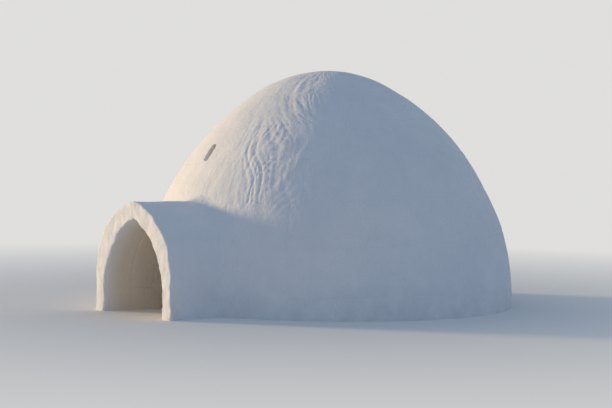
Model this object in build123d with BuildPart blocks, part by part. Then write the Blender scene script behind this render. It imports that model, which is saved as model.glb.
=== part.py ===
from build123d import *
import os
from math import atan2, cos, radians, sin

# Igloo of cut snow blocks, in millimetres. The blocks of the dome climb in one rising spiral
# to a tapered key block, and a short pointed-arch tunnel of slabs stands before the doorway.
# The origin is on the ground at the middle of the whole igloo, and the entrance faces -Y.

# Dome: outer sizes, and the wall measured square to its face
dome_radius = 1820
dome_height = 2280
crown_radius = 1200
wall_thickness = 190

# Spiral of blocks: heights are measured along the outer face of the wall
first_height = 140
last_height = 140
spiral_turns = 6
grid_steps = 48
key_half_width = 250
block_steps = (
    [3] * 14 + [4],
    [4] + [3] * 13 + [4],
    [4] + [3] * 14,
    [4] + [3] * 14,
    [4, 4, 5, 4, 3, 5, 4, 3, 5, 4, 3, 5],
    [5, 5, 4, 7, 5, 7, 5, 4, 4, 7],
    [7, 5, 6, 6, 6, 5, 8, 5],
)

# Entrance tunnel, as far as it stands out from the dome's foot, and the doorway through the wall
tunnel_length = 480
tunnel_width = 1210
tunnel_height = 1025
tunnel_spring = 340
front_ring_depth = 300
door_width = 925
door_height = 870
door_spring = 205

# Air vent, a knife-cut slot that runs level through a block above the entrance, a little to its left.
# Its centre is a step of the spiral's grid and a height above that block's bed.
vent_width = 75
vent_height = 150
vent_corner = 25
vent_step = 191
vent_above_bed = 117

# Joint between neighbouring pieces, and the room that cutting shapes have beyond what they cut
joint_gap = 0.3
cut_room = 60

os.makedirs("parts", exist_ok=True)

# The dome's outline is a long flank arc from the ground, which runs into a tighter crown arc
flank_radius = (dome_radius**2 + dome_height**2 - 2 * dome_height * crown_radius) / (
    2 * (dome_radius - crown_radius)
)
flank_offset = flank_radius - dome_radius
crown_centre = dome_height - crown_radius
crown_start = atan2(crown_centre, flank_offset)
flank_length = flank_radius * crown_start
wall_length = flank_length + crown_radius * (radians(90) - crown_start)
spiral_top = wall_length - key_half_width
block_height = (spiral_top - first_height - last_height) / spiral_turns

# The dome stands behind the middle, so that the whole igloo is centred on the origin
dome_axis_y = tunnel_length / 2
tunnel_face_y = dome_axis_y - dome_radius - tunnel_length


def wall_point(up_wall, depth):
    """Radius and height of a point this far up the outer face and this deep in the wall."""
    if up_wall <= flank_length:
        angle = up_wall / flank_radius
        reach = flank_radius - depth
        return (reach * cos(angle) - flank_offset, reach * sin(angle))
    angle = crown_start + (up_wall - flank_length) / crown_radius
    reach = crown_radius - depth
    return (reach * cos(angle), crown_centre + reach * sin(angle))


def meridian(step):
    """Upright plane from the dome's axis outwards at a step of the spiral's grid."""
    turn = radians(360 * step / grid_steps - 90)
    return Plane(
        origin=(0, dome_axis_y, 0), x_dir=(cos(turn), sin(turn), 0), z_dir=(sin(turn), -cos(turn), 0)
    )


def wall_outline(depth, start, end):
    """Arcs of the dome's outline at one depth, between two places up the wall."""
    if start < flank_length:
        stop = min(end, flank_length)
        ThreePointArc(
            wall_point(start, depth), wall_point((start + stop) / 2, depth), wall_point(stop, depth)
        )
    if end > flank_length:
        stop = max(start, flank_length)
        ThreePointArc(wall_point(stop, depth), wall_point((stop + end) / 2, depth), wall_point(end, depth))


def bed_under(step):
    """Place up the wall of the bed that the spiral's blocks stand on at a step."""
    if step < grid_steps:
        return 0
    return first_height + block_height * (step - grid_steps) / grid_steps


def bed_over(step, first):
    """Place up the wall of a block's top at a step: blocks of the last turn reach the key block."""
    if first >= spiral_turns * grid_steps:
        return spiral_top
    return first_height + block_height * step / grid_steps


def arch_face(width, spring, height):
    """Pointed arch: straight legs to the spring, then an arc up each side to the point."""
    half = width / 2
    rise = height - spring
    set_back = (rise**2 - half**2) / (2 * half)
    reach = half + set_back
    mid = atan2(rise, set_back) / 2
    mid_x = reach * cos(mid) - set_back
    mid_z = spring + reach * sin(mid)
    with BuildSketch() as face:
        with BuildLine():
            Line((-half, 0), (half, 0))
            Line((half, 0), (half, spring))
            ThreePointArc((half, spring), (mid_x, mid_z), (0, height))
            ThreePointArc((0, height), (-mid_x, mid_z), (-half, spring))
            Line((-half, spring), (-half, 0))
        make_face()
    return face.sketch


# Outer form of the dome as one solid, a joint larger, which the tunnel's blocks are fitted against
dome_axis = Axis((0, dome_axis_y, 0), (0, 0, 1))
with BuildPart() as dome_form:
    with BuildSketch(meridian(0)):
        with BuildLine():
            wall_outline(-joint_gap, 0, wall_length)
            Line((0, dome_height + joint_gap), (0, 0))
            Line((0, 0), (dome_radius + joint_gap, 0))
        make_face()
    revolve(axis=dome_axis)

vent_radius, vent_z = wall_point(bed_under(vent_step) + vent_above_bed, 0)
vent_x = vent_radius * sin(radians(360 * vent_step / grid_steps))

# The whole wall, with the doorway and the vent cut through, which the blocks are cut out of
with BuildPart() as wall:
    with BuildSketch(meridian(0)):
        with BuildLine():
            wall_outline(0, 0, spiral_top)
            Line(wall_point(spiral_top, 0), wall_point(spiral_top, wall_thickness))
            wall_outline(wall_thickness, 0, spiral_top)
            Line(wall_point(0, wall_thickness), wall_point(0, 0))
        make_face()
    revolve(axis=dome_axis)
    with BuildSketch(Plane.XZ.offset(-dome_axis_y)):
        add(arch_face(door_width, door_spring, door_height))
    extrude(amount=dome_radius + cut_room, mode=Mode.SUBTRACT)
    with BuildSketch(Plane.XZ.offset(-dome_axis_y)):
        with Locations((vent_x, vent_z)):
            RectangleRounded(vent_width, vent_height, vent_corner)
    extrude(amount=dome_radius + cut_room, mode=Mode.SUBTRACT)


def block_section(step, first, shift):
    """Section of a block at a step, moved round the wall by half a joint at the block's ends."""
    under = bed_under(step) + joint_gap / 2 if step >= grid_steps else 0
    over = bed_over(step, first) - joint_gap / 2
    with BuildSketch(meridian(step).offset(-shift)) as section:
        with BuildLine():
            Polyline(
                wall_point(under, -cut_room),
                wall_point(over, -cut_room),
                wall_point(over, wall_thickness + cut_room),
                wall_point(under, wall_thickness + cut_room),
                close=True,
            )
        make_face()
    return section.sketch


def wall_block(first, last):
    """One block of the spiral, cut between two steps: its beds are ruled square to the wall."""
    with BuildPart() as block:
        for step in range(first, last + 1):
            shift = joint_gap / 2 * ((step == first) - (step == last))
            add(block_section(step, first, shift))
        loft(ruled=True)
        add(wall.part, mode=Mode.INTERSECT)
    return block.part


# Courses of the spiral: every other block is in one node, so that its blocks don't touch
step = 1
for turn, lengths in enumerate(block_steps, start=1):
    blocks = []
    for length in lengths:
        blocks.append(wall_block(step, step + length))
        step += length
    for name, chosen in (("odd", blocks[0::2]), ("even", blocks[1::2])):
        with BuildPart() as course:
            add(chosen)
        course.part.label = f"turn_{turn}_{name}_blocks"
        export_step(course.part, f"parts/{course.part.label}.step")

# Key block: the last one, tapered so that it sits in the round opening at the top
key_start = spiral_top + joint_gap / 2
with BuildPart() as key_block:
    with BuildSketch(meridian(0)):
        with BuildLine():
            wall_outline(0, key_start, wall_length)
            Line((0, dome_height), (0, dome_height - wall_thickness))
            wall_outline(wall_thickness, key_start, wall_length)
            Line(wall_point(key_start, wall_thickness), wall_point(key_start, 0))
        make_face()
    revolve(axis=dome_axis)
key_block.part.label = "key_block"
export_step(key_block.part, "parts/key_block.step")


def tunnel_ring(start_y, depth):
    """Ring of the tunnel from one y inwards, as far as the dome's outer form."""
    with BuildPart() as ring:
        with BuildSketch(Plane.XZ.offset(-start_y - depth)):
            add(arch_face(tunnel_width, tunnel_spring, tunnel_height))
            add(arch_face(door_width, door_spring, door_height), mode=Mode.SUBTRACT)
        extrude(amount=depth)
        add(dome_form.part, mode=Mode.SUBTRACT)
    return ring.part


def ring_piece(ring, corners):
    """The part of a ring that lies inside an outline on its face."""
    with BuildPart() as piece:
        add(ring)
        with BuildSketch(Plane.XZ.offset(-dome_axis_y)):
            with BuildLine():
                Polyline(*corners, close=True)
            make_face()
        extrude(amount=dome_radius + tunnel_length + cut_room, mode=Mode.INTERSECT)
    return piece.part


# Tunnel: each ring has a foot block and a curved slab on each side, and the slabs meet at the point.
# The bed between foot and slab slopes up outwards, so that the slab can't slide off.
bed_slope = (tunnel_spring - door_spring) / (tunnel_width / 2 - door_width / 2)
bed_end_x = tunnel_width / 2 + cut_room
tunnel_top = tunnel_height + cut_room
half_gap = joint_gap / 2


def bed_height(x):
    """Height of the sloping bed at a distance from the tunnel's middle."""
    return door_spring + bed_slope * (x - door_width / 2)


rear_start_y = tunnel_face_y + front_ring_depth + half_gap
rings = (
    ("front", tunnel_ring(tunnel_face_y, front_ring_depth - half_gap)),
    ("rear", tunnel_ring(rear_start_y, dome_axis_y - rear_start_y)),
)
under_bed = [(0, bed_height(0) - half_gap), (bed_end_x, bed_height(bed_end_x) - half_gap)]
foot_corners = [*under_bed, (bed_end_x, -tunnel_top), (0, -tunnel_top)]
over_bed = [(half_gap, bed_height(half_gap) + half_gap), (bed_end_x, bed_height(bed_end_x) + half_gap)]
slab_corners = [*over_bed, (bed_end_x, tunnel_top), (half_gap, tunnel_top)]
for ring_name, ring in rings:
    for side_name, side in (("left", -1), ("right", 1)):
        for piece_name, corners in (("foot", foot_corners), ("slab", slab_corners)):
            piece = ring_piece(ring, [(side * x, z) for x, z in corners])
            piece.label = f"tunnel_{ring_name}_{side_name}_{piece_name}"
            export_step(piece, f"parts/{piece.label}.step")
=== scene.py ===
# %% [markdown]
# # An igloo of cut snow blocks
#
# This lesson dresses a snow house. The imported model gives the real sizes: a dome of blocks laid in
# one rising spiral, a tapered key block at the top, and a short tunnel with a pointed arch. Here
# every block is made again with a dense, softly uneven surface, because snow is scraped and rubbed
# smooth by hand and is never as true as a solid from a drawing. One unit is one metre.

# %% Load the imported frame
import math

import bmesh
import bpy
from mathutils import Matrix, Vector, noise


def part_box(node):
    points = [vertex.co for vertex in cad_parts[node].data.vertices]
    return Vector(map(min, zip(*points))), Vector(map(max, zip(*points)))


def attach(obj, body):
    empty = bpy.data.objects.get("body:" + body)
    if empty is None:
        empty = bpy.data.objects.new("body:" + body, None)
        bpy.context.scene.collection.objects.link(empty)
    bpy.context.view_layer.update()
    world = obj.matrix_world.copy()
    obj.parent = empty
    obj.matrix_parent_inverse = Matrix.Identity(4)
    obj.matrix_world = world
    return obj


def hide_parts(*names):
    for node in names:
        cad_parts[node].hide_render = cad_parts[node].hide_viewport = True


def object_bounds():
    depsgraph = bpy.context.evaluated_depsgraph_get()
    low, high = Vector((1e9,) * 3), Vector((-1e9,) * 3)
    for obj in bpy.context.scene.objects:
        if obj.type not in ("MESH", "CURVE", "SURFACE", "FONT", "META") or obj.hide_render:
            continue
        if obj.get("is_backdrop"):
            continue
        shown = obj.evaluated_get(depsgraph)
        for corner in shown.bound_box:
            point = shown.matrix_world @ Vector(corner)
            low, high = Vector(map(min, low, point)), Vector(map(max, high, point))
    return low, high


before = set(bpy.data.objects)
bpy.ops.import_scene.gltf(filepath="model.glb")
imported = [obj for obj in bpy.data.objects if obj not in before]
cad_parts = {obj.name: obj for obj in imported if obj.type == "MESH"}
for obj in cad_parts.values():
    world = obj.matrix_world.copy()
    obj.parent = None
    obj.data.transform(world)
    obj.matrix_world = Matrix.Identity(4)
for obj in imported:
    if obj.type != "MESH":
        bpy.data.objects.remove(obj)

cad_low, cad_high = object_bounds()
print("solids span", [round(high - low, 3) for low, high in zip(cad_low, cad_high)])

# %% [markdown]
# ## Sizes
#
# The boxes of a few solids give most sizes, so the dressed igloo always fits its frame. What a box
# can't tell, such as the wall's thickness or how tightly the crown curves, is named here.

# %% Sizes read from the frame, and the few that it can't give
key_low, key_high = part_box("key_block")
foot_low, foot_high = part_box("tunnel_front_right_foot")
slab_low, slab_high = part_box("tunnel_front_right_slab")

dome_axis_y = (key_low[1] + key_high[1]) / 2
dome_height = key_high[2]
dome_radius = cad_high[1] - dome_axis_y
crown_radius = 1.2
wall_thickness = 0.19

tunnel_face_y = foot_low[1]
ring_joint_y = foot_high[1]
tunnel_half, tunnel_spring, tunnel_height = foot_high[0], foot_high[2], slab_high[2]
door_half, door_spring, door_height = foot_low[0], slab_low[2], 0.87

print("dome", round(2 * dome_radius, 3), "across and", round(dome_height, 3), "high")
print("tunnel", round(2 * tunnel_half, 3), "wide and", round(tunnel_height, 3), "high")

# %% [markdown]
# ## The dome's curve
#
# A snow dome isn't a half ball. Its sides stand steep and close over in a tighter crown, so the wall
# carries itself at every stage of the building. Its outline is a long flank arc that runs into a
# crown arc. A place on the wall is given by how far up the outer face it lies, how deep it is in the
# wall, and its step round the spiral, of which a full turn has 48.

# %% Places on the dome's wall
grid_steps = 48
flank_radius = (dome_radius**2 + dome_height**2 - 2 * dome_height * crown_radius) / (
    2 * (dome_radius - crown_radius)
)
flank_offset = flank_radius - dome_radius
crown_centre = dome_height - crown_radius
crown_start = math.atan2(crown_centre, flank_offset)
flank_length = flank_radius * crown_start
wall_length = flank_length + crown_radius * (math.pi / 2 - crown_start)


def wall_section(up_wall, depth):
    """Radius and height of a place in the wall's section, and the slope of the wall there."""
    if up_wall <= flank_length:
        slope, reach, centre = up_wall / flank_radius, flank_radius - depth, (-flank_offset, 0)
    else:
        slope = crown_start + (up_wall - flank_length) / crown_radius
        reach, centre = crown_radius - depth, (0, crown_centre)
    return centre[0] + reach * math.cos(slope), centre[1] + reach * math.sin(slope), slope


def wall_place(step, up_wall, depth):
    """A place in the wall, and the direction square out of the wall there."""
    radius, height, slope = wall_section(up_wall, depth)
    turn = 2 * math.pi * step / grid_steps - math.pi / 2
    out = Vector((math.cos(turn), math.sin(turn), 0))
    place = Vector((0, dome_axis_y, height)) + out * radius
    return place, out * math.cos(slope) + Vector((0, 0, math.sin(slope)))


print("the wall is", round(wall_length, 2), "long from the ground to the top")

# %% [markdown]
# ## The spiral
#
# The first turn of blocks is trimmed to a ramp, so the second turn climbs onto it and the wall then
# rises without a break. Each block leans on its neighbour and never slides off. The lengths below
# are counted in steps. They differ a little from turn to turn, so that hardly any upright joint stands
# over another one, and the blocks of the last turn all reach up to the key block.

# %% The spiral's beds
first_height = 0.14
last_height = 0.14
spiral_turns = 6
key_half_width = 0.25
joint_gap = 0.0003
block_steps = (
    [3] * 14 + [4],
    [4] + [3] * 13 + [4],
    [4] + [3] * 14,
    [4] + [3] * 14,
    [4, 4, 5, 4, 3, 5, 4, 3, 5, 4, 3, 5],
    [5, 5, 4, 7, 5, 7, 5, 4, 4, 7],
    [7, 5, 6, 6, 6, 5, 8, 5],
)
spiral_top = wall_length - key_half_width
block_height = (spiral_top - first_height - last_height) / spiral_turns


def bed_under(step):
    """Place up the wall of the bed that the blocks stand on at a step."""
    if step < grid_steps:
        return 0.0
    return first_height + block_height * (step - grid_steps) / grid_steps


def bed_over(step, first):
    """Place up the wall of a block's top at a step. The last turn's blocks reach up to the key block."""
    if first >= spiral_turns * grid_steps:
        return spiral_top
    return first_height + block_height * step / grid_steps


print("blocks are", round(block_height, 3), "high")

# %% [markdown]
# ## How uneven scraped snow is
#
# A long knife planes the outside after the last block is in, and mittens rub loose snow into the
# joints. What is left is a broad swell of a few millimetres, a finer lumpiness, and shallow troughs
# with crisp ridges between them where the knife ran up the wall. Adding it up in one function of
# place keeps neighbouring blocks in line, because both ask the same question at their shared edge.

# %% Unevenness of the outside and the inside
swell_depth, swell_size = 0.010, 0.62
lump_depth, lump_size = 0.004, 0.17
inside_depth, inside_size = 0.006, 0.22


def bumps(place, size, seed):
    """Smooth noise from about -1 to 1 with bumps of a size. Each seed gives another pattern."""
    return noise.noise(place / size + Vector((0.41, 0.29, 0.17)) + seed * Vector((1.37, 2.73, 3.11)))


def outer_relief(place):
    return swell_depth * bumps(place, swell_size, 1) + lump_depth * bumps(place, lump_size, 2)


def inner_relief(place):
    return inside_depth * bumps(place, inside_size, 6)


print("swell up to", round(1000 * swell_depth), "mm, inside up to", round(1000 * inside_depth), "mm")

# %% Knife strokes
stroke_depth, stroke_length = 0.024, 0.45
stroke_kinds = ((0.068, 0.24, 0.55), (0.045, -0.38, 0.45))
bend_start, bend_lean = 1.75, 0.9
wander_lean, wander_size = 0.12, 0.45
worked_turn, worked_focus = math.radians(-64), 14
worked_start, worked_rise = 0.7, 0.5
patch_share, patch_size, patch_cover, patch_contrast = 0.35, 0.55, 0.15, 1.2
smooth_top_radius = 0.45
worked_side = Vector((math.cos(worked_turn), math.sin(worked_turn), 0))


def knife_strokes(place):
    """Troughs that climb the dome and lean both ways, most of them where the maker worked longest.

    Each kind has a width, a turn round the dome for each metre of height, and a share of the depth.
    """
    around = Vector((place.x, place.y - dome_axis_y, 0))
    near_top = min(1.0, around.length / smooth_top_radius) ** 2
    around.normalize()
    high_enough = min(1.0, max(0.0, (place.z - worked_start) / worked_rise))
    worked = max(0.0, around.dot(worked_side)) ** worked_focus * high_enough
    patch = min(1.0, max(0.0, patch_cover + patch_contrast * bumps(place, patch_size, 3)))
    bend = bend_lean * max(0.0, place.z - bend_start)
    wander = wander_lean * bumps(place, wander_size, 4)
    depth = 0.0
    for width, lean, share in stroke_kinds:
        spot = around.copy()
        spot.rotate(Matrix.Rotation(lean * place.z + bend + wander, 3, "Z"))
        spot = Vector((spot.x * dome_radius / width, spot.y * dome_radius / width, place.z / stroke_length))
        depth += share * abs(bumps(spot, 1, 5))
    return -depth * stroke_depth * max(patch_share * patch, worked) * near_top


def wall_relief(place):
    return outer_relief(place) + knife_strokes(place)


print("knife strokes up to", round(1000 * stroke_depth), "mm")

# %% [markdown]
# ## One block
#
# A block starts as a cube whose edges are cut into rows. Its three directions then stand for the way
# round the wall, the way up it and the way through it, and each vertex is carried to its place in the
# wall. Rows crowd towards the block's borders, where the joint needs them. Outside, the joint is
# rubbed full and only a hairline of a dent is left here and there. Inside, it stays a clear seam. An
# attribute called inside tells the material which side a vertex is on, and the material paints the
# inside with shade and warm bounce light in a warmer grey.

# %% Cube with rows
row_size = 0.013
fewest_rows = 6
crowding = 0.75


def rowed_cube(rows):
    """Unit cube from 0 to 1, its edges along each axis cut into that many rows."""
    bm = bmesh.new()
    bmesh.ops.create_cube(bm, size=1, matrix=Matrix.Translation((0.5, 0.5, 0.5)))
    for axis, count in enumerate(rows):
        along = [e for e in bm.edges if abs(e.verts[0].co[axis] - e.verts[1].co[axis]) > 0.5]
        if count > 1:
            bmesh.ops.subdivide_edges(bm, edges=along, cuts=count - 1, use_grid_fill=True)
    return bm


def crowd(share):
    """Moves a share from 0 to 1 towards the nearer end."""
    return (1 - crowding) * share + crowding * (0.5 - 0.5 * math.cos(math.pi * share))


# %% Dents at the joints
joint_dent, joint_softness = 0.0036, 0.010
seam_dent, seam_softness = 0.008, 0.010
least_shown, usually_shown, shown_size = 0.15, 0.35, 0.35


def outer_dent(distance, place):
    """The rubbed joint outside: it shows in some places and is full in others."""
    shows = min(1.0, max(least_shown, usually_shown + bumps(place, shown_size, 7)))
    return joint_dent * shows * math.exp(-((distance / joint_softness) ** 2))


def inner_dent(distance):
    """The clear seam inside."""
    return seam_dent * math.exp(-((distance / seam_softness) ** 2))


# %% A block of the spiral
def spiral_block(first, last):
    """Block between two steps. Its length and height at its middle give the number of rows."""
    middle = (first + last) / 2
    low, high = bed_under(middle), bed_over(middle, first)
    radius = wall_section((low + high) / 2, 0)[0]
    length = 2 * math.pi * radius * (last - first) / grid_steps
    rows_along, rows_up = round(length / row_size), round((high - low) / row_size)
    bm = rowed_cube((max(fewest_rows, rows_along), max(fewest_rows, rows_up), 2))
    inside = bm.verts.layers.float.new("inside")
    for vert in bm.verts:
        along, up, depth = crowd(vert.co.x), crowd(vert.co.y), vert.co.z
        step = first + (last - first) * along
        low, high = bed_under(step), bed_over(step, first)
        up_wall = low + (high - low) * up
        edge = min(min(along, 1 - along) * length, min(up, 1 - up) * (high - low))
        step += (0.5 - along) * joint_gap / length * (last - first)
        up_wall += (0.5 - up) * joint_gap if up_wall > 0 else 0
        place, out = wall_place(step, up_wall, depth * wall_thickness)
        # depth through the wall; the material paints the inner face, at 1, with shade
        vert[inside] = depth
        if depth < 0.1:
            place += out * (wall_relief(place) - outer_dent(edge, place))
        elif depth > 0.9:
            place += out * (inner_relief(place) + inner_dent(edge))
        place.z = max(place.z, 0.0)
        vert.co = place
    return bm


# %% Making pieces
def piece_from(name, blocks):
    """One mesh object from several bmeshes, with faces that point outwards."""
    whole = bmesh.new()
    part = bpy.data.meshes.new("part")
    for bm in blocks:
        bm.to_mesh(part)
        whole.from_mesh(part)
        bm.free()
    bpy.data.meshes.remove(part)
    bmesh.ops.recalc_face_normals(whole, faces=whole.faces)
    mesh = bpy.data.meshes.new(name)
    whole.to_mesh(mesh)
    whole.free()
    piece = bpy.data.objects.new(name, mesh)
    bpy.context.scene.collection.objects.link(piece)
    return piece


def count_triangles(piece):
    piece.data.calc_loop_triangles()
    return len(piece.data.loop_triangles)


# %% Turns of the spiral
snow_pieces = {}
step = 1
for turn, lengths in enumerate(block_steps, start=1):
    ends = [step + sum(lengths[:count]) for count in range(len(lengths) + 1)]
    blocks = [spiral_block(first, last) for first, last in zip(ends, ends[1:])]
    step = ends[-1]
    for kind, chosen in (("odd", blocks[0::2]), ("even", blocks[1::2])):
        node = f"turn_{turn}_{kind}_blocks"
        piece = piece_from(f"snow_{node}", chosen)
        snow_pieces[node] = piece
        print(piece.name, len(chosen), "blocks", count_triangles(piece), "triangles")

# %% [markdown]
# ## Doorway and air vent
#
# The doorway is cut after the dome stands, from inside, along a pointed arch. The vent is a slot that
# a long knife cuts through the wall, to let warm air out. Both are made with a cutter that is taken away
# from the blocks. A cutter is a grid rolled into a tube: one way round it is the opening's outline, the
# other way are stations through the wall. It is a little wider where it meets a face of the wall that
# shows, so that the cut comes out with a worn, rounded rim instead of a knife-sharp one. The walls of
# both cuts are marked as inside, so that the material paints them with shade.

# %% Places on the arch and on the dome's outer face
def arch_set_back(half, spring, height):
    """How far beyond the middle the circle of the arch's right half has its centre."""
    return ((height - spring) ** 2 - half**2) / (2 * half)


def arch_place(half, spring, height, along):
    """Place on the arch's right half, and the way out of it, which turns upright towards the point.

    Along the arch, 0 is the foot, 1 the spring and 2 the point.
    """
    if along <= 1:
        return Vector((half, 0, spring * along)), Vector((1, 0, 0))
    set_back = arch_set_back(half, spring, height)
    angle = math.atan2(height - spring, set_back) * (along - 1)
    out = Vector((math.cos(angle), 0, math.sin(angle)))
    place = Vector((-set_back, 0, spring)) + out * (half + set_back)
    level = (along - 1) ** 4
    return place, (out * (1 - level) + Vector((0, 0, level))).normalized()


def y_on_wall(x, z, depth=0.0):
    """How far back the entrance side of the wall is at a place, at a depth in the wall."""
    slope = math.asin(min(1.0, max(0.0, z) / (flank_radius - depth)))
    radius = (flank_radius - depth) * math.cos(slope) - flank_offset
    return dome_axis_y - math.sqrt(max(0.0, radius**2 - x**2))


# %% Cutter from an outline
weld_distance = 2e-5
rim_roughness, rough_size = 0.5, 0.05


def cutter(name, outline, stations):
    """Tube along y. Each outline entry is (place, out); each station is (depth in the wall, growth)."""
    bm = bmesh.new()
    columns, rows = len(outline), len(stations) - 1
    bmesh.ops.create_grid(bm, x_segments=columns, y_segments=rows, size=0.5)
    for vert in bm.verts:
        place, out = outline[round((vert.co.x + 0.5) * columns) % columns]
        depth, growth = stations[round((vert.co.y + 0.5) * rows)]
        rough = 1 + rim_roughness * bumps(place + Vector((0, depth / 2, 0)), rough_size, 8)
        y = y_on_wall(place.x, place.z, depth)
        vert.co = place + out * growth * rough + Vector((0, y, 0))
    bmesh.ops.remove_doubles(bm, verts=bm.verts, dist=weld_distance)
    bmesh.ops.holes_fill(bm, edges=bm.edges, sides=columns + 1)
    return piece_from(name, [bm])


# %% Cutting for good
def cut(piece, tool, painted_shade):
    """Takes the tool's form away. The last argument gives how far a place on the cut's walls counts as
    inside, which the material paints with shade.
    """
    taking = piece.modifiers.new("cut", "BOOLEAN")
    taking.operation, taking.solver, taking.object = "DIFFERENCE", "EXACT", tool
    ready = piece.evaluated_get(bpy.context.evaluated_depsgraph_get())
    mesh = bpy.data.meshes.new_from_object(ready)
    piece.modifiers.remove(taking)
    bm = bmesh.new()
    bm.from_mesh(mesh)
    bmesh.ops.remove_doubles(bm, verts=bm.verts, dist=weld_distance)
    bmesh.ops.dissolve_degenerate(bm, edges=bm.edges, dist=weld_distance)
    inside = bm.verts.layers.float["inside"]
    for vert in bm.verts:
        vert[inside] = max(vert[inside], min(1.0, painted_shade(vert.co)))
    bm.to_mesh(mesh)
    bm.free()
    piece.data = mesh


# %% Cutting the doorway
door_rows = 28
foot_depth, door_margin = 0.05, 0.04


def door_painted_shade(place):
    """Full painted shade on the doorway's walls and rims, which lie on the entrance side within a margin of
    the arch's outline.
    """
    if place.y > dome_axis_y:
        return 0.0
    set_back = arch_set_back(door_half, door_spring, door_height)
    rise = max(0.0, place.z - door_spring)
    beyond = math.hypot(abs(place.x) + set_back, rise) - set_back - door_half
    return 1.0 if beyond < door_margin else 0.0


right = []
for row in range(door_rows):
    right.append(arch_place(door_half, door_spring, door_height, 2 * row / door_rows))
right[0][0].z = -foot_depth
point = arch_place(door_half, door_spring, door_height, 2)
mirrored = [(Vector((-p.x, 0, p.z)), Vector((-out.x, 0, out.z))) for p, out in reversed(right)]
door_outline = [*right, point, *mirrored]
door_stations = (
    (-0.12, 0),
    (0.0, 0),
    (0.06, 0),
    (wall_thickness - 0.03, 0),
    (wall_thickness - 0.012, 0.003),
    (wall_thickness - 0.003, 0.010),
    (wall_thickness + 0.006, 0.022),
    (wall_thickness + 0.2, 0.022),
)
door_tool = cutter("door_tool", door_outline, door_stations)
for node in ("turn_1_odd_blocks", "turn_2_odd_blocks", "turn_3_odd_blocks"):
    cut(snow_pieces[node], door_tool, door_painted_shade)
    print(node, "after the doorway", count_triangles(snow_pieces[node]), "triangles")

# %% Cutting the vent
vent_width, vent_height, vent_corner = 0.075, 0.15, 0.03
vent_x, vent_z = -0.1736, 1.47
vent_points = 40
spread_x, spread_z = 2.2, 1.6
# depths in the vent where the painted shade starts and where it is full; the second is also a cutter
# station
white_depth, full_shade_depth = 0.03, 0.07


def vent_painted_shade(place):
    """The vent's mouth stays white, and its walls get painted shade further in."""
    around = math.hypot(place.x, place.y - dome_axis_y) + flank_offset
    depth = flank_radius - math.hypot(around, place.z)
    return (depth - white_depth) / (full_shade_depth - white_depth)


vent_outline = []
for row in range(vent_points):
    turn = 2 * math.pi * (row + 0.5) / vent_points
    out = Vector((math.cos(turn), 0, math.sin(turn)))
    core_x = (vent_width / 2 - vent_corner) * math.copysign(min(1.0, abs(spread_x * out.x)), out.x)
    core_z = (vent_height / 2 - vent_corner) * math.copysign(min(1.0, abs(spread_z * out.z)), out.z)
    vent_outline.append((Vector((vent_x + core_x, 0, vent_z + core_z)) + out * vent_corner, out))
vent_stations = (
    (-0.06, 0.010),
    (-0.006, 0.009),
    (0.002, 0.005),
    (0.008, 0.002),
    (white_depth, 0),
    (full_shade_depth, 0),
    (wall_thickness - 0.015, 0),
    (wall_thickness + 0.01, 0.012),
    (wall_thickness + 0.06, 0.012),
)
vent_tool = cutter("vent_tool", vent_outline, vent_stations)
cut(snow_pieces["turn_5_even_blocks"], vent_tool, vent_painted_shade)
for tool in (door_tool, vent_tool):
    bpy.data.objects.remove(tool)
print("vent cut", round(1000 * vent_width), "by", round(1000 * vent_height), "mm")

# %% [markdown]
# ## Key block
#
# The last block is tapered, lowered into the round opening from outside and trimmed until it drops
# into place. It is round in plan, so its outline is drawn once and spun about the dome's axis.

# %% Key block
key_start = spiral_top + joint_gap / 2
key_rows, edge_rows, key_turns = 16, 5, 96
on_face = 0.001

down_face = []
for row in range(key_rows + 1):
    down_face.append(wall_length + (key_start - wall_length) * crowd(row / key_rows))
profile = [wall_section(up_wall, 0)[:2] for up_wall in down_face]
for row in range(1, edge_rows):
    profile.append(wall_section(key_start, wall_thickness * row / edge_rows)[:2])
for up_wall in reversed(down_face):
    profile.append(wall_section(up_wall, wall_thickness)[:2])

bm = bmesh.new()
line = [bm.verts.new((radius, dome_axis_y, height)) for radius, height in profile]
edges = [bm.edges.new(pair) for pair in zip(line, line[1:])]
bmesh.ops.spin(
    bm, geom=line + edges, cent=(0, dome_axis_y, 0), axis=(0, 0, 1), angle=2 * math.pi,
    steps=key_turns, use_merge=True, use_duplicate=False,
)
bmesh.ops.remove_doubles(bm, verts=bm.verts, dist=weld_distance)
inside = bm.verts.layers.float.new("inside")
crown = Vector((0, dome_axis_y, crown_centre))
for vert in bm.verts:
    out = (vert.co - crown).normalized()
    depth = crown_radius - (vert.co - crown).length
    edge = flank_length + (math.asin(out.z) - crown_start) * crown_radius - key_start
    # depth through the wall; the material paints the inner face with shade
    vert[inside] = depth / wall_thickness
    if depth < on_face:
        vert.co += out * (wall_relief(vert.co) - outer_dent(edge, vert.co))
    elif depth > wall_thickness - on_face:
        vert.co += out * (inner_relief(vert.co) + inner_dent(edge))
snow_pieces["key_block"] = piece_from("snow_key_block", [bm])
print("key block", count_triangles(snow_pieces["key_block"]), "triangles")

# %% [markdown]
# ## Entrance tunnel
#
# The tunnel is short: two rings, each with a low foot block and a tall curved slab on either side.
# The slabs lean against each other at the point. They are made as the dome's blocks are, from a cube
# with rows whose directions become the way up the arch, the way through its wall and the way back.
# The front face is the most handled edge of a snow house, so its corners are rounded and nicked.

# %% Front corners
corner_size, corner_swing, nick_size = 0.015, 0.005, 0.022
rim_reach, rim_swerve, rim_ripple = 0.16, 0.014, 0.006


def round_front(through, back, thickness, radius):
    """Rounds the two corners of the front face. Both distances are from the outer front corner."""
    core_through = min(max(through, radius), thickness - radius)
    core_back = max(back, radius)
    off = Vector((through - core_through, back - core_back))
    if off.length == 0:
        return through, back
    off *= max(abs(off.x), abs(off.y)) / off.length
    return core_through + off.x, core_back + off.y


def corner_radius(place):
    """Radius of the worn corner, which is larger where a nick is."""
    nick = nick_size * max(0.0, bumps(place, 0.06, 10))
    return corner_size + corner_swing * bumps(place, 0.15, 9) + nick


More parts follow.
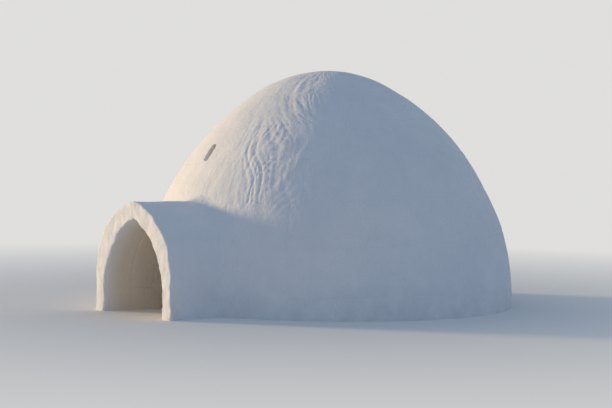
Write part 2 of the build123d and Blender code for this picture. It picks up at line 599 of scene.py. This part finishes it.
def rim_wave(place):
    """How far the rim of the arch swerves, which dies away a hand's length behind the face."""
    near_face = max(0.0, 1 - (place.y - tunnel_face_y) / rim_reach) ** 2
    return near_face * (rim_swerve * bumps(place, 0.12, 11) + rim_ripple * bumps(place, 0.045, 12))


# %% A block of the tunnel
slab_length = 1.0
rows_through = 12
usual_x, usual_z = 0.4, 0.4
dome_overlap = 0.002
face_reach, face_swell, face_grain = 0.05, 0.009, 0.004
outer_joint, inner_joint = 0.6, 0.35
# painted shade on the tunnel's inner face starts this far behind the front face and deepens over this
# length
painted_shade_start, painted_shade_length = 0.03, 0.16


def tunnel_block(side, start, front, rear):
    """Foot block (start 0) or slab (start 1) of a ring. Without a rear it reaches the dome's face."""
    usual_rear = y_on_wall(usual_x, usual_z) if rear is None else rear
    length = tunnel_spring if start == 0 else slab_length
    bm = rowed_cube((round(length / row_size), rows_through, round((usual_rear - front) / row_size)))
    inside = bm.verts.layers.float.new("inside")
    for vert in bm.verts:
        up, through, back = crowd(vert.co.x), crowd(vert.co.y), crowd(vert.co.z)
        edge = min(up, 1 - up) * length
        outer, outer_out = arch_place(tunnel_half, tunnel_spring, tunnel_height, start + up)
        inner, inner_out = arch_place(door_half, door_spring, door_height, start + up)
        across = inner - outer
        place = outer + across * through
        end = rear
        if rear is None:
            end = y_on_wall(place.x, place.z)
            at_end = Vector((side * place.x, end, place.z))
            end -= wall_relief(at_end) - dome_overlap
        edge = min(edge, (1 - back) * (end - front))
        if front > tunnel_face_y:
            edge = min(edge, back * (end - front))
        else:
            radius = corner_radius(Vector((side * outer.x, 0, outer.z)) + across * round(through))
            rounded = round_front(through * across.length, back * (end - front), across.length, radius)
            through, back = rounded[0] / across.length, rounded[1] / (end - front)
            place = outer + across * through
        place.x = side * max(place.x, joint_gap / 2)
        place.y = front + (end - front) * back
        face_share = max(0.0, 1 - (place.y - tunnel_face_y) / face_reach)
        face_relief = face_swell * bumps(place, 0.11, 13) + face_grain * bumps(place, 0.035, 14)
        shift = Vector((0, face_share * face_relief, 0))
        wave = rim_wave(place)
        outer_lift = outer_relief(place) + wave - outer_joint * outer_dent(edge, place)
        inner_lift = inner_relief(place) + wave + inner_joint * inner_dent(edge)
        way = outer_out * outer_lift * (1 - through) + inner_out * inner_lift * through
        place += shift + Vector((side * way.x, 0, way.z))
        place.z = max(place.z, 0.0) if vert.co.x > 0 or start else 0.0
        # the inner face gets painted shade that deepens with the distance behind the front face
        if through > 0.9:
            vert[inside] = min(1.0, max(0.0, (place.y - tunnel_face_y - painted_shade_start) / painted_shade_length))
        vert.co = place
    return bm


# %% The tunnel's eight blocks
rings = (("front", tunnel_face_y, ring_joint_y), ("rear", ring_joint_y + joint_gap, None))
for ring, front, rear in rings:
    for side_name, side in (("left", -1), ("right", 1)):
        for kind, start in (("foot", 0), ("slab", 1)):
            node = f"tunnel_{ring}_{side_name}_{kind}"
            snow_pieces[node] = piece_from(f"snow_{node}", [tunnel_block(side, start, front, rear)])
            print(node, count_triangles(snow_pieces[node]), "triangles")

# %% [markdown]
# ## Plaster between tunnel and dome
#
# Loose snow is packed into the corner where the tunnel meets the dome and rubbed hollow by hand, so
# that no wind gets through. It is one long strip. At each place along the corner its section runs from
# a spot on the tunnel to a spot on the dome, in a curve that leaves both of them smoothly. Such a curve
# is the simplest Bezier curve, with the corner itself as its handle.

# %% The strip of plaster
plaster_reach, reach_swing, reach_size = 0.10, 0.3, 0.25
plaster_rows, plaster_bands = 150, 10
skin_depth, body_depth = 0.0015, 0.012
bulge_depth, bulge_size = 0.006, 0.09
arc_length = 0.95
leg_share = tunnel_spring / (tunnel_spring + arc_length)


def dome_skin(place):
    """Nearest place on the dome's uneven outer face, and the way out of it."""
    around = Vector((place.x, place.y - dome_axis_y, 0))
    section = Vector((around.length + flank_offset, place.z)).normalized()
    around.normalize()
    out = around * section.x + Vector((0, 0, section.y))
    spot = Vector((0, dome_axis_y, 0)) - around * flank_offset + out * flank_radius
    return spot + out * wall_relief(spot), out


def corner_frame(share):
    """Corner's place and the way out of the tunnel there, from the right foot over to the left one."""
    side = 1 if share <= 0.5 else -1
    half_share = 2 * min(share, 1 - share)
    if half_share < leg_share:
        along = half_share / leg_share
    else:
        along = 1 + (half_share - leg_share) / (1 - leg_share)
    place, out = arch_place(tunnel_half, tunnel_spring, tunnel_height, along)
    corner = Vector((side * place.x, y_on_wall(place.x, place.z), place.z))
    return corner, Vector((side * out.x, 0, out.z))


bm = rowed_cube((plaster_rows, plaster_bands, 2))
bm.verts.layers.float.new("inside")
for vert in bm.verts:
    corner, out = corner_frame(vert.co.x)
    reach = plaster_reach * (1 + reach_swing * bumps(corner, reach_size, 15))
    on_tunnel = corner - Vector((0, reach, 0))
    on_tunnel += out * outer_relief(on_tunnel)
    corner_out = dome_skin(corner)[1]
    away = (out - corner_out * out.dot(corner_out)).normalized()
    on_dome, dome_out = dome_skin(corner + away * reach)
    sink = skin_depth + body_depth * vert.co.z
    start = on_tunnel - out * sink
    handle = corner - (out + dome_out) * sink
    end = on_dome - dome_out * sink
    band = vert.co.y
    place = start * (1 - band) ** 2 + handle * 2 * band * (1 - band) + end * band**2
    bulge = 4 * band * (1 - band) * (1 - vert.co.z)
    place += (out + dome_out).normalized() * bulge * bulge_depth * bumps(place, bulge_size, 16)
    place.z = max(place.z, 0.0) if 0 < vert.co.x < 1 else 0.0
    vert.co = place
plaster = piece_from("snow_plaster", [bm])
print("plaster strip", count_triangles(plaster), "triangles")

# %% [markdown]
# ## Smooth shading, and what moves with what
#
# Every face is shaded smooth, and edges where two faces meet at a clear angle stay sharp, so the
# joints keep their lines. An igloo has no moving part, so all its pieces ride on the one body.

# %% Finishing the pieces
clear_angle = math.radians(50)
all_pieces = [*snow_pieces.values(), plaster]
for piece in all_pieces:
    piece.data.polygons.foreach_set("use_smooth", [True] * len(piece.data.polygons))
    piece.data.set_sharp_from_angle(angle=clear_angle)
    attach(piece, "root")
for node, piece in snow_pieces.items():
    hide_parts(node)
print(len(all_pieces), "pieces", sum(map(count_triangles, all_pieces)), "triangles")

# %% [markdown]
# ## Snow
#
# Packed snow is white and dull. Its colour changes only a little, in wide patches and small mottles. It
# is greyer near the ground, and the inside is a warmer grey that is painted shade with warm bounce
# light. Its surface changes more: grains of two or three millimetres, a crust with small lumps, and
# fine lines left by the knife, which run up the wall. These are bump, since they are too fine to model.
# The lines are a noise that is squeezed round the dome and drawn out upwards, so it reads a direction
# round the dome's axis instead of plain x and y.

# %% Small helpers for node trees
def new_material(name):
    material = bpy.data.materials.new(name)
    material.use_nodes = True
    material.node_tree.nodes.clear()
    return material, material.node_tree.nodes, material.node_tree.links


def set_input(links, socket, value):
    """Links another node's socket, or sets a plain value."""
    if hasattr(value, "links"):
        links.new(value, socket)
    else:
        socket.default_value = value


def math_node(nodes, links, operation, first, second):
    node = nodes.new("ShaderNodeMath")
    node.operation = operation
    set_input(links, node.inputs[0], first)
    set_input(links, node.inputs[1], second)
    return node.outputs["Value"]


def vector_node(nodes, links, operation, *values):
    node = nodes.new("ShaderNodeVectorMath")
    node.operation = operation
    for socket, value in zip(node.inputs, values):
        set_input(links, socket, value)
    return node.outputs["Value" if operation == "LENGTH" else "Vector"]


def noise_node(nodes, links, vector, scale, detail, roughness=0.55):
    node = nodes.new("ShaderNodeTexNoise")
    node.inputs["Scale"].default_value = scale
    node.inputs["Detail"].default_value = detail
    node.inputs["Roughness"].default_value = roughness
    links.new(vector, node.inputs["Vector"])
    return node.outputs["Fac"]


def between(nodes, links, value, low, high, start=0.3, end=0.7):
    """Carries a value from start and end onto low and high. Most of a noise is from 0.3 to 0.7."""
    node = nodes.new("ShaderNodeMapRange")
    node.inputs["From Min"].default_value, node.inputs["From Max"].default_value = start, end
    node.inputs["To Min"].default_value, node.inputs["To Max"].default_value = low, high
    links.new(value, node.inputs["Value"])
    return node.outputs["Result"]


def mix_colours(nodes, links, share, first, second):
    node = nodes.new("ShaderNodeMix")
    node.data_type = "RGBA"
    for name, colour in (("A", first), ("B", second)):
        target = [socket for socket in node.inputs if socket.name == name and socket.type == "RGBA"][0]
        set_input(links, target, colour)
    links.new(share, node.inputs["Factor"])
    return [socket for socket in node.outputs if socket.type == "RGBA"][0]


def bump_node(nodes, links, height, distance, before=None):
    node = nodes.new("ShaderNodeBump")
    node.inputs["Distance"].default_value = distance
    links.new(height, node.inputs["Height"])
    if before:
        links.new(before, node.inputs["Normal"])
    return node.outputs["Normal"]


# %% Snow material
snow_white, snow_grey = (0.94, 0.955, 0.98, 1), (0.80, 0.83, 0.88, 1)
# the first colour below is painted shade with warm bounce light for the inside; the second greys the snow
# near the ground
inside_shade_grey, low_grey = (0.78, 0.74, 0.68, 1), (0.70, 0.71, 0.75, 1)
low_grey_start, low_grey_end = 0.02, 0.34
line_rise = 0.12

snow, nodes, links = new_material("packed_snow")
place = nodes.new("ShaderNodeTexCoord").outputs["Object"]
axis_shift = nodes.new("ShaderNodeMapping")
axis_shift.inputs["Location"].default_value = (0, -dome_axis_y, 0)
links.new(place, axis_shift.inputs["Vector"])
flat = vector_node(nodes, links, "MULTIPLY", axis_shift.outputs["Vector"], (1, 1, 0))
around = vector_node(nodes, links, "NORMALIZE", flat)
upright = vector_node(nodes, links, "MULTIPLY", place, (0, 0, line_rise))
drawn_out = vector_node(nodes, links, "ADD", around, upright)

patches = noise_node(nodes, links, place, scale=1.6, detail=3)
mottles = noise_node(nodes, links, place, scale=6, detail=4)
lumps = noise_node(nodes, links, place, scale=22, detail=4)
crust = noise_node(nodes, links, place, scale=85, detail=4, roughness=0.65)
grains = noise_node(nodes, links, place, scale=380, detail=2)
lines = noise_node(nodes, links, drawn_out, scale=60, detail=3, roughness=0.6)

painted_shade = nodes.new("ShaderNodeAttribute")
painted_shade.attribute_name = "inside"
height = nodes.new("ShaderNodeSeparateXYZ")
links.new(place, height.inputs["Vector"])
# greyer towards the ground, in mottled patches
foot = between(nodes, links, height.outputs["Z"], 1.0, 0.0, low_grey_start, low_grey_end)
low_grey_share = math_node(nodes, links, "MULTIPLY", foot, between(nodes, links, mottles, 0.15, 0.75))

colour = mix_colours(nodes, links, between(nodes, links, patches, 0.0, 0.6), snow_white, snow_grey)
colour = mix_colours(nodes, links, between(nodes, links, mottles, 0.0, 0.35), colour, snow_grey)
colour = mix_colours(nodes, links, between(nodes, links, crust, 0.0, 0.25), colour, snow_grey)
colour = mix_colours(nodes, links, low_grey_share, colour, low_grey)
# painted shade with warm bounce light on the inside, in the doorway and in the vent
colour = mix_colours(nodes, links, painted_shade.outputs["Fac"], colour, inside_shade_grey)
normal = bump_node(nodes, links, lines, distance=0.004)
normal = bump_node(nodes, links, lumps, distance=0.006, before=normal)
normal = bump_node(nodes, links, crust, distance=0.003, before=normal)
normal = bump_node(nodes, links, grains, distance=0.0008, before=normal)

shader = nodes.new("ShaderNodeBsdfPrincipled")
shader.inputs["IOR"].default_value = 1.31
shader.inputs["Specular IOR Level"].default_value = 0.35
links.new(colour, shader.inputs["Base Color"])
links.new(between(nodes, links, crust, 0.62, 0.86), shader.inputs["Roughness"])
links.new(normal, shader.inputs["Normal"])
output = nodes.new("ShaderNodeOutputMaterial")
links.new(shader.outputs["BSDF"], output.inputs["Surface"])

for piece in all_pieces:
    piece.data.materials.clear()
    piece.data.materials.append(snow)
print("snow material with", len(nodes), "nodes")

# %% [markdown]
# ## Floor, background and light
#
# The floor is a plain pale disc that fades into the background with distance, so no horizon cuts
# through the picture. A broad, soft key light comes in low from the left, a little from behind, and
# gives the warm side and the soft edge of the shade. The world fills the shade with cool light, and
# the rays that look at it get the pale background instead.

# %% Rays that see the background
background_colour = (0.74, 0.735, 0.72, 1)


def seeing_rays(nodes, links):
    """1 for a ray from the camera or off a glossy or clear surface, and 0 for a ray of soft light."""
    rays = nodes.new("ShaderNodeLightPath")
    share = rays.outputs["Is Camera Ray"]
    for kind in ("Is Glossy Ray", "Is Transmission Ray"):
        share = math_node(nodes, links, "MAXIMUM", share, rays.outputs[kind])
    return share


# %% Floor
floor_radius = 60
fade_start, fade_end = 2.1, 10.0

floor_material, nodes, links = new_material("pale_floor")
distance = vector_node(nodes, links, "LENGTH", nodes.new("ShaderNodeTexCoord").outputs["Object"])
fade = between(nodes, links, distance, 0.0, 1.0, fade_start, fade_end)
plain = nodes.new("ShaderNodeBsdfDiffuse")
plain.inputs["Color"].default_value = (0.90, 0.90, 0.89, 1)
far = nodes.new("ShaderNodeEmission")
far.inputs["Color"].default_value = background_colour
blend = nodes.new("ShaderNodeMixShader")
links.new(math_node(nodes, links, "MULTIPLY", fade, seeing_rays(nodes, links)), blend.inputs["Fac"])
links.new(plain.outputs["BSDF"], blend.inputs[1])
links.new(far.outputs["Emission"], blend.inputs[2])
links.new(blend.outputs["Shader"], nodes.new("ShaderNodeOutputMaterial").inputs["Surface"])

bm = bmesh.new()
bmesh.ops.create_circle(bm, cap_ends=True, segments=96, radius=floor_radius)
floor_mesh = bpy.data.meshes.new("floor")
bm.to_mesh(floor_mesh)
bm.free()
floor_mesh.materials.append(floor_material)
floor = bpy.data.objects.new("floor", floor_mesh)
bpy.context.scene.collection.objects.link(floor)
floor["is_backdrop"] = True
print("floor disc", [round(size, 1) for size in floor.dimensions])

# %% World
world = bpy.data.worlds.new("studio")
bpy.context.scene.world = world
world.use_nodes = True
nodes, links = world.node_tree.nodes, world.node_tree.links
nodes.clear()
fill = nodes.new("ShaderNodeBackground")
fill.inputs["Color"].default_value = (0.60, 0.76, 1.0, 1)
fill.inputs["Strength"].default_value = 0.41
shown = nodes.new("ShaderNodeBackground")
shown.inputs["Color"].default_value = background_colour
either = nodes.new("ShaderNodeMixShader")
links.new(seeing_rays(nodes, links), either.inputs["Fac"])
links.new(fill.outputs["Background"], either.inputs[1])
links.new(shown.outputs["Background"], either.inputs[2])
links.new(either.outputs["Shader"], nodes.new("ShaderNodeOutputWorld").inputs["Surface"])
print("world fill", fill.inputs["Strength"].default_value)

# %% Key lamp
lamp_turn, lamp_lift = math.radians(214), math.radians(8)
towards = Vector((
    math.cos(lamp_turn) * math.cos(lamp_lift),
    math.sin(lamp_turn) * math.cos(lamp_lift),
    math.sin(lamp_lift),
))
key_light = bpy.data.lights.new("key", "SUN")
key_light.angle = math.radians(9)
key_light.energy = 3.05
key_light.color = (1.0, 0.71, 0.37)
key = bpy.data.objects.new("key", key_light)
key.rotation_euler = towards.to_track_quat("Z", "Y").to_euler()
bpy.context.scene.collection.objects.link(key)
bpy.context.scene.view_settings.view_transform = "Standard"
print("key lamp", key_light.energy, "over", round(math.degrees(key_light.angle)), "degrees")

# %% [markdown]
# ## Camera
#
# The camera stands where the photographer stood, at eye height and seventeen metres away, and is held
# a touch askew. The igloo is small in the photo, so a longer lens is used from the same place: that
# shows it larger and keeps every angle as it was.

# %% Camera
camera_place = Vector((13.127, -10.908, 1.6))
aim = Vector((-0.136, 0.076, 0.970))
askew = math.radians(0.67)
camera_data = bpy.data.cameras.new("camera")
camera_data.lens = 103
camera = bpy.data.objects.new("camera", camera_data)
turn = (camera_place - aim).to_track_quat("Z", "Y").to_matrix() @ Matrix.Rotation(askew, 3, "Z")
camera.location = camera_place
camera.rotation_euler = turn.to_euler()
bpy.context.scene.collection.objects.link(camera)
bpy.context.scene.camera = camera
print("camera", round((camera_place - aim).length, 2), "m from its aim")

# %% Sizes of both models
bpy.context.view_layer.update()
visual_low, visual_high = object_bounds()
boxes = {"cad": [list(cad_low), list(cad_high)], "visual": [list(visual_low), list(visual_high)]}
for low, high in boxes.values():
    print([round(value, 3) for value in low], [round(value, 3) for value in high])
